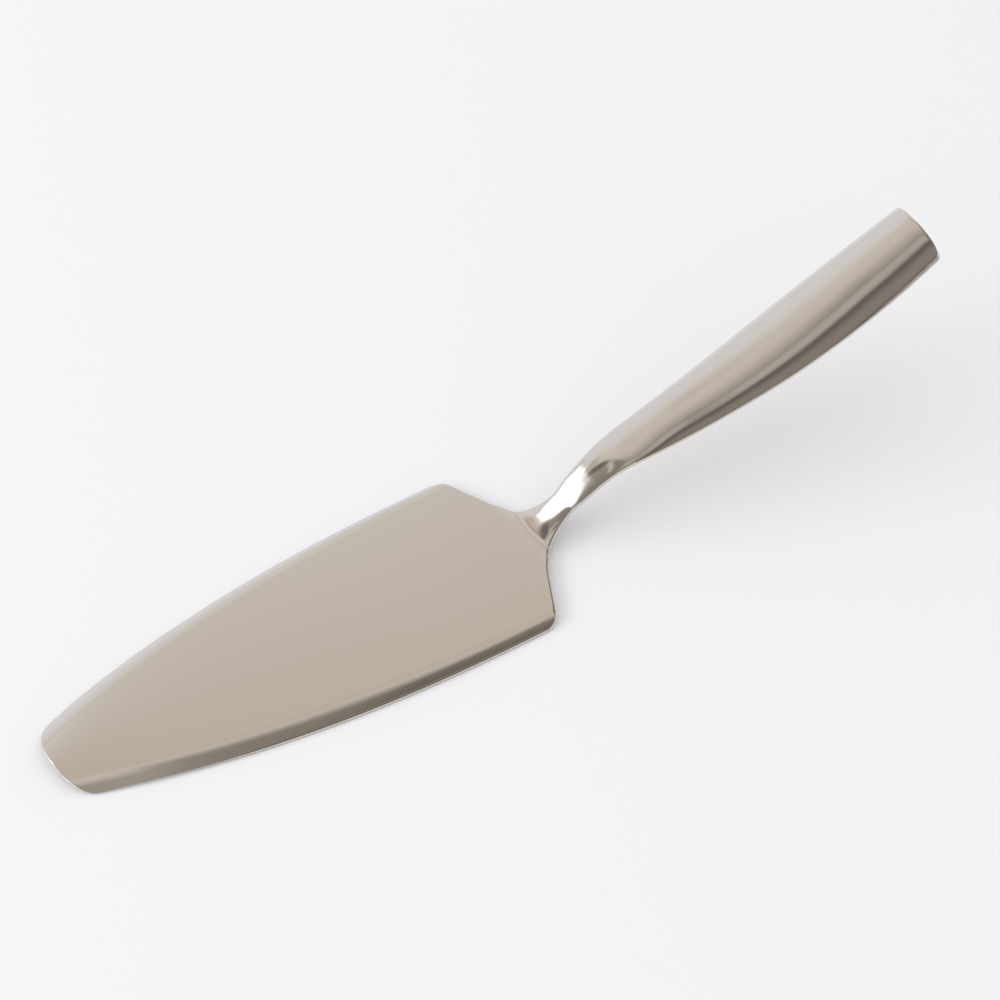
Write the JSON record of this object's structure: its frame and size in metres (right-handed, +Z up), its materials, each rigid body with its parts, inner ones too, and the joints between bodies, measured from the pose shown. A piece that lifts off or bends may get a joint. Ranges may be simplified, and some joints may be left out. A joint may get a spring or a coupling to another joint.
{
  "type": "cake server",
  "caption": "Steel cake server with a broad spade blade, a cranked neck and a hollow arched handle that rises behind it.",
  "frame": {"origin": "on the table, under the middle of the server's length and width", "axes": "+X from the tip of the blade to the end of the handle, +Z up, Y across"},
  "size_m": [0.2618, 0.058, 0.054],
  "materials": {
    "blade_steel": "polished stainless steel with fine wear lines",
    "handle_steel": "polished stainless steel",
    "bedding_resin": "hard dark resin, cast in place"
  },
  "bodies": {
    "root": {"blade": "blade_steel", "handle_upper_shell": "handle_steel", "handle_lower_shell": "handle_steel", "tang_bedding": "bedding_resin"}
  },
  "joints": []
}
